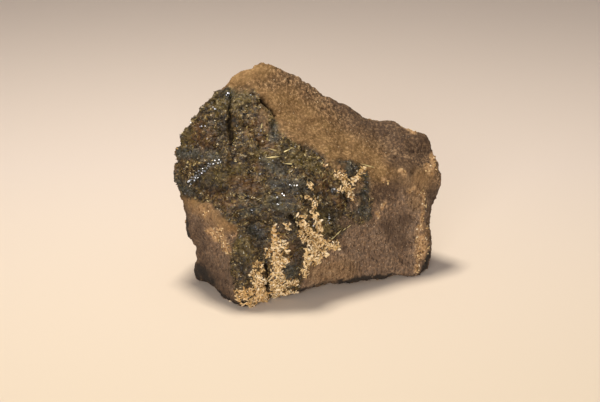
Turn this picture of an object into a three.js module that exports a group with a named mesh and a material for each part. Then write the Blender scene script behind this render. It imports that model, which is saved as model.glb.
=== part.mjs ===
// A hand specimen of granular magnetite, as one solid stone that lies on a small flat sole.
// Units are millimetres, +Z is up, the ground is z = 0, and the fresh dark break faces -Y.
import * as THREE from "three";
import { ImprovedNoise } from "three/addons/math/ImprovedNoise.js";
import { TessellateModifier } from "three/addons/modifiers/TessellateModifier.js";
import { mergeVertices } from "three/addons/utils/BufferGeometryUtils.js";

// How finely the surface is divided, and how far wear has rounded its corners
const longestEdge = 3.6;
const divideRounds = 12;
const wearSteps = [0.5, -0.4, 0.5, -0.4, 0.3];

// How wide the slope between two chips is, as a share of a chip's size
const chipBorder = 0.35;

// The sole lies this far under the ground before it is ground flat at z = 0
const soleDepth = -1.4;

// Where the stone's main corners stand
const corners = {
  // skyline, from the left shoulder over the apex to the knob on the right
  westShoulder: [-35.3, -2, 67.5],
  capWest: [-28, 0, 75],
  apex: [-16.7, 3, 81.9],
  skyHigh: [-6, 7, 73.5],
  skyMid: [9, 11, 63],
  saddle: [20.5, 13, 55.5],
  knobTop: [32, 12, 55.3],
  knobOuter: [43, 12, 50],

  // left side, going down
  westUpper: [-44.5, -4, 56],
  westMid: [-48.5, -6, 41],
  westLow: [-46.8, -10, 33],
  westWaist: [-41, -9, 14],
  westFoot: [-42, -9.5, 1],

  // right side, going down
  eastHigh: [46.5, 11, 40.5],
  eastBulge: [49, 9, 33.5],
  eastWaist: [45, 8, 23.5],
  eastLow: [46, 6, 12.5],
  eastFoot: [44, 1, -0.5],

  // ridge between the fresh break and the weathered slope
  ridge1: [-19.5, -4, 71.5],
  ridge2: [-13, -9, 64],
  ridge3: [-9.5, -13, 57.5],
  ridge4: [0, -15, 53],
  ridge5: [11, -13, 48],
  ridge6: [22.5, -8, 41],
  ridge7: [34, -3, 38],
  ridge8: [44.5, 4, 38.5],

  // the hollow along the weathered slope
  hollow1: [-3.5, 0, 61.5],
  hollow2: [12.5, 3, 51],
  hollow3: [27, 5, 46],

  // fresh break: a cleft near the top, a crest across the middle and a lip below it
  cleftTop: [-28, -7.5, 66.5],
  cleftFoot: [-27.5, -18, 54.5],
  crest1: [-38, -19, 46.5],
  crest2: [-30.5, -22, 50.5],
  crest3: [-15.5, -21, 53.5],
  crest4: [-2, -22, 49],
  lip1: [-38, -22, 34.5],
  lip2: [-28, -31, 31],
  lip3: [-21, -32, 33],
  lip4: [-14.5, -31, 34.5],
  lip5: [-3.5, -29, 39],

  // lower front: shin and toe on the left, cheeks where the dark break meets the rind
  shin: [-27, -32, 22],
  toe: [-23.5, -34, 0],
  heel1: [-38.5, -12, 11.5],
  heel2: [-34, -20.5, 2],
  cheek1: [5.5, -22, 16],
  cheek2: [12.5, -17, 25],
  cheek3: [22, -11, 34.5],
  cheek4: [27, -8, 18],
  rim1: [41, 1, 26.5],
  rim2: [43.5, 1, 14.5],

  // hem: the lower front edge, which clears the ground to the right of the toe
  hem1: [-14, -28.5, 2.5],
  hem2: [-3.5, -24, 2],
  hem3: [7, -19, 2.5],
  hem4: [19, -13, 2],
  hem5: [31.5, -7, 1.5],
  hem6: [40, -3.5, -0.5],

  // the far side, in three rows from the top down
  back1: [-31, 13, 62],
  back2: [-9, 19, 66],
  back3: [13, 24, 53],
  back4: [33, 22, 45],
  back5: [-42, 11, 35],
  back6: [-20, 26, 38],
  back7: [8, 31, 34],
  back8: [34, 27, 26],
  back9: [-37, 15, 10],
  back10: [-14, 29, 8],
  back11: [16, 32, 8],
  back12: [37, 23, 8],

  // outline of the sole
  soleFront: [-22, -30.5, soleDepth],
  soleHeel: [-31.5, -20, soleDepth],
  soleWest: [-36, -6, soleDepth],
  soleNorthWest: [-28, 8, soleDepth],
  soleBackWest: [-11, 18, soleDepth],
  soleBack: [12, 20, soleDepth],
  soleBackEast: [29, 14, soleDepth],
  soleEast: [35, 5, soleDepth],
  sole3: [24, 2, soleDepth],
  sole2: [5, -7, soleDepth],
  sole1: [-11, -18, soleDepth],
};

// Kinds of surface: how high the chips of a break and the lumps of a worn skin stand
const fresh = { chips: 1.0, lumps: 0.6 };
const rind = { chips: 0.2, lumps: 0.8 };
const broken = { chips: 0.6, lumps: 0.9 };
const ground = { chips: 0, lumps: 0.2 };

// Each face of the stone: its kind, how far its middle swells (+) or sinks (-), and its corners
// in turn, anticlockwise from outside
const faces = [
  [rind, 0.6, "apex capWest westShoulder ridge1"],
  [fresh, 1.2, "westShoulder westUpper westMid crest1 crest2 cleftFoot cleftTop"],
  [fresh, 1.0, "westShoulder cleftTop cleftFoot crest2 crest3 ridge3 ridge2 ridge1"],
  [fresh, -0.8, "westMid westLow lip1 lip2 crest2 crest1"],
  [fresh, -1.2, "crest2 lip2 lip3 lip4 crest3"],
  [fresh, 0.4, "crest3 lip4 lip5 crest4"],
  [fresh, -0.4, "ridge3 crest3 crest4 ridge5 ridge4"],
  [fresh, 0.6, "crest4 lip5 cheek2 cheek3 ridge6 ridge5"],
  [fresh, 0.6, "lip2 shin toe hem1 lip4 lip3"],
  [fresh, 1.4, "lip4 hem1 hem2 cheek1 cheek2 lip5"],
  [rind, -1.4, "westLow westWaist heel1 heel2 toe shin lip2 lip1"],
  [rind, 0.6, "cheek2 cheek1 hem2 hem3 hem4 cheek4"],
  [rind, 0.8, "ridge6 cheek3 cheek2 cheek4 rim1 ridge7"],
  [rind, 0.4, "cheek4 hem4 hem5 hem6 eastFoot rim2 rim1"],
  [broken, 0.3, "ridge7 rim1 eastWaist eastBulge ridge8"],
  [broken, -0.4, "rim1 rim2 eastFoot eastLow eastWaist"],
  [broken, 0, "ridge8 eastBulge eastHigh"],
  [rind, -0.4, "apex ridge1 ridge2 hollow1 skyHigh"],
  [rind, -0.6, "ridge2 ridge3 ridge4 hollow1"],
  [rind, -0.5, "hollow1 ridge4 ridge5 hollow2 skyMid skyHigh"],
  [rind, -0.3, "hollow2 ridge5 ridge6 hollow3 saddle skyMid"],
  [rind, 1.6, "hollow3 ridge6 ridge7 ridge8 eastHigh knobOuter knobTop saddle"],
  [broken, 0.5, "westShoulder capWest apex skyHigh back2 back1"],
  [broken, -0.5, "skyHigh skyMid saddle back3 back2"],
  [broken, 0.5, "saddle knobTop back4 back3"],
  [broken, 0.8, "knobTop knobOuter eastHigh back4"],
  [broken, 0.8, "westUpper westShoulder back1 back5 westMid"],
  [broken, 1.2, "back1 back2 back6 back5"],
  [broken, -1.0, "back2 back3 back7 back6"],
  [broken, 1.0, "back3 back4 back8 back7"],
  [broken, 0.8, "back4 eastHigh eastBulge eastWaist back8"],
  [broken, 0.6, "westMid back5 back9 westWaist westLow"],
  [rind, 1.0, "back5 back6 back10 back9"],
  [rind, 1.2, "back6 back7 back11 back10"],
  [rind, 0.8, "back7 back8 back12 back11"],
  [rind, 0.5, "back8 eastWaist eastLow eastFoot back12"],
  [rind, 0.5, "westWaist back9 soleNorthWest soleWest westFoot"],
  [rind, 1.0, "westWaist westFoot soleWest soleHeel heel2 heel1"],
  [rind, 0, "heel2 soleHeel soleFront toe"],
  [rind, 0, "toe soleFront sole1 hem1"],
  [rind, 0, "hem1 sole1 sole2 hem3 hem2"],
  [rind, 0, "hem3 sole2 sole3 hem5 hem4"],
  [rind, 0, "hem5 sole3 soleEast eastFoot hem6"],
  [rind, 0, "eastFoot soleEast soleBackEast back12"],
  [rind, 0, "back12 soleBackEast soleBack back11"],
  [rind, 0, "back11 soleBack soleBackWest back10"],
  [rind, 0, "back10 soleBackWest soleNorthWest back9"],
  [
    ground,
    0,
    "soleFront soleHeel soleWest soleNorthWest soleBackWest soleBack soleBackEast " +
      "soleEast sole3 sole2 sole1",
  ],
];

// The stone's few marked forms: each runs along a line, and is cut in (-) or stands out (+)
const marks = [
  // on the fresh break
  { name: "cleft", from: [-27.5, -12.5, 61], to: [-27.5, -16.5, 55.5], reach: 3, height: -1.5 },
  { name: "undercut ridge", from: [-15, -5.5, 67], to: [-11, -9.5, 60], reach: 3, height: -1.3 },
  { name: "crest spine", from: [-42, -13, 43.5], to: [-31, -21, 50.5], reach: 4.5, height: 1.5 },
  { name: "shelf", from: [-38, -20, 40], to: [-26, -27, 42], reach: 5, height: -1.4 },
  { name: "lip spine", from: [-22, -31, 36], to: [-13, -30, 37.5], reach: 4, height: 1.2 },
  { name: "under the lip", from: [-25, -32, 28], to: [-15, -31, 29.5], reach: 4, height: -1.3 },
  { name: "knuckle", from: [-9, -25, 45], to: [-3, -25, 44], reach: 4.5, height: 1.3 },
  { name: "socket", from: [4, -21, 38], to: [7, -20, 33], reach: 5, height: -1.3 },

  // pale crust that stands on the lower front, in three beads
  { name: "crust lobe", from: [-24, -32, 4], to: [-15, -30, 4], reach: 4.5, height: 0.9 },
  { name: "crust column", from: [-13, -30, 8], to: [-13, -31, 24], reach: 4, height: 1 },
  { name: "crust fan", from: [-1, -25, 13], to: [0, -26.5, 37], reach: 4.5, height: 1 },

  // on the weathered skin
  { name: "cap nick", from: [-23, 1.5, 78], to: [-22, 2, 78.5], reach: 3, height: -0.6 },
  { name: "west knuckle", from: [-46, -4.5, 53.5], to: [-47, -5, 49.5], reach: 4.5, height: 1.6 },
  { name: "west swell", from: [-45.5, -10, 28], to: [-43, -9.5, 20], reach: 6, height: 1.5 },
  { name: "flank trough", from: [-36, -18, 27], to: [-31, -25, 8], reach: 7, height: -1.2 },
  { name: "skyline hump", from: [12, 11, 61], to: [16, 12, 58.5], reach: 4.5, height: 0.9 },
  { name: "knob brow", from: [37, 11.5, 54.5], to: [42, 10.5, 50], reach: 3.5, height: 0.9 },
  { name: "rim bead", from: [41, 0, 27], to: [42, -1, 3], reach: 3.5, height: 1 },
  { name: "hem notch", from: [-13, -29, 2.5], to: [-10, -27, 2.5], reach: 4, height: -1.5 },
  { name: "hem scallop", from: [5, -19.5, 2], to: [10, -17.5, 2], reach: 4, height: -1.2 },

  // on the far side
  { name: "back scoop", from: [-22, 25, 40], to: [-18, 27, 34], reach: 14, height: -2.6 },
  { name: "back hollow", from: [20, 27, 42], to: [24, 29, 36], reach: 12, height: -2.4 },
  { name: "back spine", from: [-2, 20, 60], to: [3, 31, 22], reach: 7, height: 2.2 },
  { name: "back ledge", from: [-34, 16, 22], to: [-8, 30, 18], reach: 5, height: 1.6 },
  { name: "back nick", from: [28, 29, 14], to: [34, 26, 20], reach: 6, height: -1.6 },
];

const noise = new ImprovedNoise();

function noiseAt(point, size, shift) {
  return noise.noise(point.x / size + shift, point.y / size + shift, point.z / size - shift);
}

// A repeatable number from 0 to 1 for each cell of a grid
function cellNumber(x, y, z, which) {
  const wave = Math.sin(x * 127.1 + y * 311.7 + z * 74.7 + which * 53.3) * 43758.5453;
  return wave - Math.floor(wave);
}

// Flat chips at random tilts, as a break leaves them: a point takes the plane of the nearest seed,
// and close to a border it takes some of the next seed's too
function chipsAt(point, size) {
  const [gx, gy, gz] = [point.x, point.y, point.z].map((v) => Math.floor(v / size));
  const seeds = [];
  for (let x = gx - 1; x <= gx + 1; x++)
    for (let y = gy - 1; y <= gy + 1; y++)
      for (let z = gz - 1; z <= gz + 1; z++) {
        const random = (which) => cellNumber(x, y, z, which);
        const away = new THREE.Vector3(
          point.x / size - x - random(1),
          point.y / size - y - random(2),
          point.z / size - z - random(3),
        );
        const tilt = new THREE.Vector3(random(4) - 0.5, random(5) - 0.5, random(6) - 0.5);
        const level = random(7) - 0.5 + 2 * away.dot(tilt);
        seeds.push({ distance: away.length(), level });
      }
  seeds.sort((a, b) => a.distance - b.distance);
  const [first, second] = seeds;
  const share = 0.5 * Math.max(0, 1 - (second.distance - first.distance) / chipBorder);
  return first.level * (1 - share) + second.level * share;
}

// The faces as a plain mesh, each one a fan about its own raised or sunken middle. The colour
// attribute carries how rough the surface is there: red for chips, green for lumps.
function cageOfCorners() {
  const place = (name) => new THREE.Vector3(...corners[name]);
  const rough = {};
  for (const [kind, , loop] of faces)
    for (const name of loop.split(" ")) (rough[name] ??= []).push(kind);
  const mean = (kinds, key) => kinds.reduce((sum, kind) => sum + kind[key], 0) / kinds.length;

  const positions = [];
  const colours = [];
  for (const [kind, swell, loop] of faces) {
    const names = loop.split(" ");
    const points = names.map(place);
    const middle = new THREE.Vector3();
    points.forEach((p) => middle.addScaledVector(p, 1 / points.length));
    const outward = new THREE.Vector3();
    points.forEach((p, i) => outward.add(p.clone().cross(points[(i + 1) % points.length])));
    middle.addScaledVector(outward.normalize(), swell);
    points.forEach((p, i) => {
      const next = (i + 1) % points.length;
      positions.push(...middle.toArray(), ...p.toArray(), ...points[next].toArray());
      colours.push(kind.chips, kind.lumps, 0);
      for (const name of [names[i], names[next]])
        colours.push(mean(rough[name], "chips"), mean(rough[name], "lumps"), 0);
    });
  }
  const cage = new THREE.BufferGeometry();
  cage.setAttribute("position", new THREE.Float32BufferAttribute(positions, 3));
  cage.setAttribute("color", new THREE.Float32BufferAttribute(colours, 3));
  return cage;
}

// The vertices that share an edge with each vertex
function neighboursOf(geometry) {
  const found = Array.from({ length: geometry.attributes.position.count }, () => new Set());
  const index = geometry.index.array;
  for (let i = 0; i < index.length; i += 3)
    for (let k = 0; k < 3; k++) {
      const [a, b] = [index[i + k], index[i + ((k + 1) % 3)]];
      found[a].add(b);
      found[b].add(a);
    }
  return found;
}

// Wear: each vertex moves a share of the way to the middle of its neighbours, then part of the
// way back, so that corners round off and the stone keeps its size
function wearCorners(geometry) {
  const position = geometry.attributes.position;
  const neighbours = neighboursOf(geometry);
  for (const share of wearSteps) {
    const moved = neighbours.map((near, i) => {
      const middle = new THREE.Vector3();
      for (const n of near)
        middle.addScaledVector(new THREE.Vector3().fromBufferAttribute(position, n), 1 / near.size);
      return new THREE.Vector3().fromBufferAttribute(position, i).lerp(middle, share);
    });
    moved.forEach((p, i) => position.setXYZ(i, p.x, p.y, p.z));
  }
}

function markHeight(point) {
  let height = 0;
  for (const mark of marks) {
    const line = new THREE.Line3(new THREE.Vector3(...mark.from), new THREE.Vector3(...mark.to));
    const nearest = line.closestPointToPoint(point, true, new THREE.Vector3());
    const share = 1 - Math.min(1, nearest.distanceTo(point) / mark.reach);
    height += mark.height * share * share * (3 - 2 * share);
  }
  return height;
}

// Relief: chips and lumps of two sizes each, and the marked forms, along the surface's normal
function raiseRelief(geometry) {
  geometry.computeVertexNormals();
  const { position, normal, color } = geometry.attributes;
  for (let i = 0; i < position.count; i++) {
    const point = new THREE.Vector3().fromBufferAttribute(position, i);
    const outward = new THREE.Vector3().fromBufferAttribute(normal, i);
    const chips = 1.3 * chipsAt(point, 11) + 0.5 * chipsAt(point, 6.5);
    const lumps = 1.5 * noiseAt(point, 14, 3) + 0.7 * noiseAt(point, 7, 11);
    const height = color.getX(i) * chips + color.getY(i) * lumps + markHeight(point);
    point.addScaledVector(outward, height);
    position.setXYZ(i, point.x, point.y, Math.max(0, point.z));
  }
}

function makeStone() {
  const divided = new TessellateModifier(longestEdge, divideRounds).modify(cageOfCorners());
  divided.deleteAttribute("normal");
  const stone = mergeVertices(divided, 1e-3);
  wearCorners(stone);
  raiseRelief(stone);
  stone.computeBoundingBox();
  const middle = stone.boundingBox.getCenter(new THREE.Vector3());
  stone.translate(-middle.x, -middle.y, -stone.boundingBox.min.z);
  stone.deleteAttribute("color");
  stone.computeVertexNormals();
  return stone;
}

const darkOre = new THREE.MeshStandardMaterial({ color: "#4b4436", roughness: 0.6, metalness: 0.15 });

const magnetiteRock = new THREE.Mesh(makeStone(), darkOre);
magnetiteRock.name = "magnetite_rock";

const specimen = new THREE.Group();
specimen.name = "magnetite_specimen";
specimen.add(magnetiteRock);

export default specimen;
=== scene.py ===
import math

import bpy
import numpy as np
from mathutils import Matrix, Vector


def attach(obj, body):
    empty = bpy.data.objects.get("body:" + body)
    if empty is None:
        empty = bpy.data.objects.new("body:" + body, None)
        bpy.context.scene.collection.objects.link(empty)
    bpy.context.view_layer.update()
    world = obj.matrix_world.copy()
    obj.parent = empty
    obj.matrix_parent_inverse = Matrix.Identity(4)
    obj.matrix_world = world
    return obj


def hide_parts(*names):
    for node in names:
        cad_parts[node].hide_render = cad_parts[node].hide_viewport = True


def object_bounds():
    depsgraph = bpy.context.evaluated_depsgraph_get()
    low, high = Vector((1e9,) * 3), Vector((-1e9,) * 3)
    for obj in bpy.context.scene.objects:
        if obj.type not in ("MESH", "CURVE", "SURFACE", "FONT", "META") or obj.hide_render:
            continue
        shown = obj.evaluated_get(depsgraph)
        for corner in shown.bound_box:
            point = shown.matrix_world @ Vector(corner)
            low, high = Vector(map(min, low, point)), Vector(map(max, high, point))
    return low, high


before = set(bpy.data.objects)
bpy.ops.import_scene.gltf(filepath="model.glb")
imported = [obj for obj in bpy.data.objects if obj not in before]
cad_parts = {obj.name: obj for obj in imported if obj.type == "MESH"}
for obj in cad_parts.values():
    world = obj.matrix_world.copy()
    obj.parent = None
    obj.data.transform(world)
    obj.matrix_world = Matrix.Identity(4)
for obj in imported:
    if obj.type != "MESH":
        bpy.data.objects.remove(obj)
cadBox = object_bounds()
mm = 0.001


def hexColour(code):
    channels = [int(code[i : i + 2], 16) / 255 for i in (1, 3, 5)]
    linear = [c / 12.92 if c < 0.04045 else ((c + 0.055) / 1.055) ** 2.4 for c in channels]
    return (*linear, 1.0)


def addNode(material, kind, settings, inputs):
    node = material.node_tree.nodes.new("ShaderNode" + kind)
    for name, value in settings.items():
        if name == "stops":
            ramp = node.color_ramp
            while len(ramp.elements) < len(value):
                ramp.elements.new(0.5)
            for element, (position, code) in zip(ramp.elements, value):
                element.position = position
                element.color = hexColour(code)
        else:
            setattr(node, name, value)
    for name, value in inputs.items():
        if isinstance(value, bpy.types.NodeSocket):
            material.node_tree.links.new(value, node.inputs[name])
        else:
            node.inputs[name].default_value = value
    return node


def newMaterial(name):
    material = bpy.data.materials.new(name)
    material.use_nodes = True
    material.node_tree.nodes.clear()
    return material


def deselectAll():
    bpy.ops.object.select_all(action="DESELECT")


def makeActive(piece):
    deselectAll()
    piece.select_set(True)
    bpy.context.view_layer.objects.active = piece


def readPoints(mesh, what="co"):
    values = np.empty(len(mesh.vertices) * 3, np.float32)
    mesh.vertices.foreach_get(what, values)
    return values.reshape(-1, 3).astype(float)


def writePoints(mesh, points):
    # points are in mm and are kept inside the solid's box
    low, high = [np.array(corner) / mm for corner in cadBox]
    kept = np.clip(points, low, high) * mm
    mesh.vertices.foreach_set("co", kept.astype(np.float32).ravel())
    mesh.update()


def addAttribute(mesh, name, values):
    layer = mesh.attributes.new(name, "FLOAT", "POINT")
    layer.data.foreach_set("value", np.asarray(values, np.float32))


def hashNumber(cells, seed):
    # a repeatable number from 0 to 1 for each cell of a grid
    x, y, z = np.moveaxis(cells.astype(np.int64), -1, 0)
    mixed = (x * 374761393 + y * 668265263 + z * 1442695041 + seed * 1274126177) & 0xFFFFFFFF
    mixed = ((mixed ^ (mixed >> 13)) * 1274126177) & 0xFFFFFFFF
    return ((mixed ^ (mixed >> 16)) & 0xFFFFFF) / 0xFFFFFF


def softNoise(points, size, seed):
    # rolling noise from -1 to 1
    grid = points / size
    base = np.floor(grid)
    part = grid - base
    part = part * part * (3 - 2 * part)
    total = 0
    for corner in np.ndindex(2, 2, 2):
        share = np.prod(np.where(np.array(corner), part, 1 - part), axis=-1)
        total = total + share * hashNumber(base + corner, seed)
    return 2 * total - 1


def chipNoise(points, size, seed):
    # flat chips at random tilts with small steps between them, about -1 to 1
    grid = points / size
    base = np.floor(grid)
    nearest = np.full(len(points), 9.0)
    level = np.zeros(len(points))
    for step in np.ndindex(3, 3, 3):
        cell = base + np.array(step) - 1
        away = grid - cell - np.stack([hashNumber(cell, seed + k) for k in range(3)], -1)
        tilt = np.stack([hashNumber(cell, seed + 3 + k) for k in range(3)], -1) - 0.5
        distance = np.linalg.norm(away, axis=-1)
        height = hashNumber(cell, seed + 6) - 0.5 + 1.6 * (away * tilt).sum(-1)
        closer = distance < nearest
        nearest = np.where(closer, distance, nearest)
        level = np.where(closer, height, level)
    return 2 * level


# The sight plane stands square to the view at the stone, and zones are painted on it from the front
sight = {
    "eye": (-3.5, -482.4, 203.6),  # mm
    "down": 20,  # degrees that the view looks down
    "distance": 490,  # mm from the eye to the plane
    "lens": 85,  # mm
    "sensor": 36,  # mm
}


def lookDirections():
    tilt = math.radians(sight["down"])
    ahead = np.array([0, math.cos(tilt), -math.sin(tilt)])
    up = np.array([0, math.sin(tilt), math.cos(tilt)])
    return ahead, up


def onSight(points):
    # mm across and up the sight plane
    ahead, up = lookDirections()
    away = points - np.array(sight["eye"])
    scale = sight["distance"] / (away @ ahead)
    return np.stack([away[:, 0] * scale, (away @ up) * scale], -1)


def facing(points, normals):
    towards = np.array(sight["eye"]) - points
    towards /= np.linalg.norm(towards, axis=-1, keepdims=True)
    return (towards * normals).sum(-1)


def lineDistance(spots, line):
    # how far each spot is from a line of points, in mm
    line = np.array(line, float)
    best = np.linalg.norm(spots - line[0], axis=-1)
    for a, b in zip(line[:-1], line[1:]):
        along = np.clip(((spots - a) @ (b - a)) / ((b - a) @ (b - a)), 0, 1)
        best = np.minimum(best, np.linalg.norm(spots - a - along[:, None] * (b - a), axis=-1))
    return best


def paintStrokes(spots, strokes):
    # each stroke has its reach in mm and its line: full in the middle, half at its reach
    weight = np.zeros(len(spots))
    for reach, line in strokes:
        weight = np.maximum(weight, np.clip(1.5 - lineDistance(spots, line) / reach, 0, 1))
    return weight


def insideOutline(spots, outline):
    # mm inside (+) or outside (-) a closed outline
    inside = np.zeros(len(spots), bool)
    closed = outline + outline[:1]
    for (ax, ay), (bx, by) in zip(closed[:-1], closed[1:]):
        if ay != by:
            crossing = ax + (spots[:, 1] - ay) * (bx - ax) / (by - ay)
            inside ^= ((ay > spots[:, 1]) != (by > spots[:, 1])) & (spots[:, 0] < crossing)
    distance = lineDistance(spots, closed)
    return np.where(inside, distance, -distance)


# The fresh dark break, as seen from the front
freshOutline = [
    (-30, 38), (-24, 39.5), (-19, 40), (-16, 39), (-13.5, 36), (-11, 33), (-9.5, 30.5),
    (-8, 27.5), (-6, 23), (-2.5, 20.5), (1, 20), (3.5, 18.5), (8, 16.5), (9.5, 14), (14.5, 14),
    (18.5, 14), (22, 11.5), (24.5, 8), (25, 0.5), (24.5, -6), (22, -8), (17, -8.8), (14, -12.5),
    (12, -15.5), (7.5, -19), (1.5, -25.5), (-0.5, -31.5), (-9, -37), (-17.5, -38), (-22.5, -31),
    (-24, -26), (-24.5, -20.5), (-24, -16), (-22, -13), (-21.5, -9.5), (-27, -4.5), (-31, -1),
    (-36.5, 0.5), (-41, 1.5), (-50, 4), (-52, 15), (-46, 25), (-36, 36),
]

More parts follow.
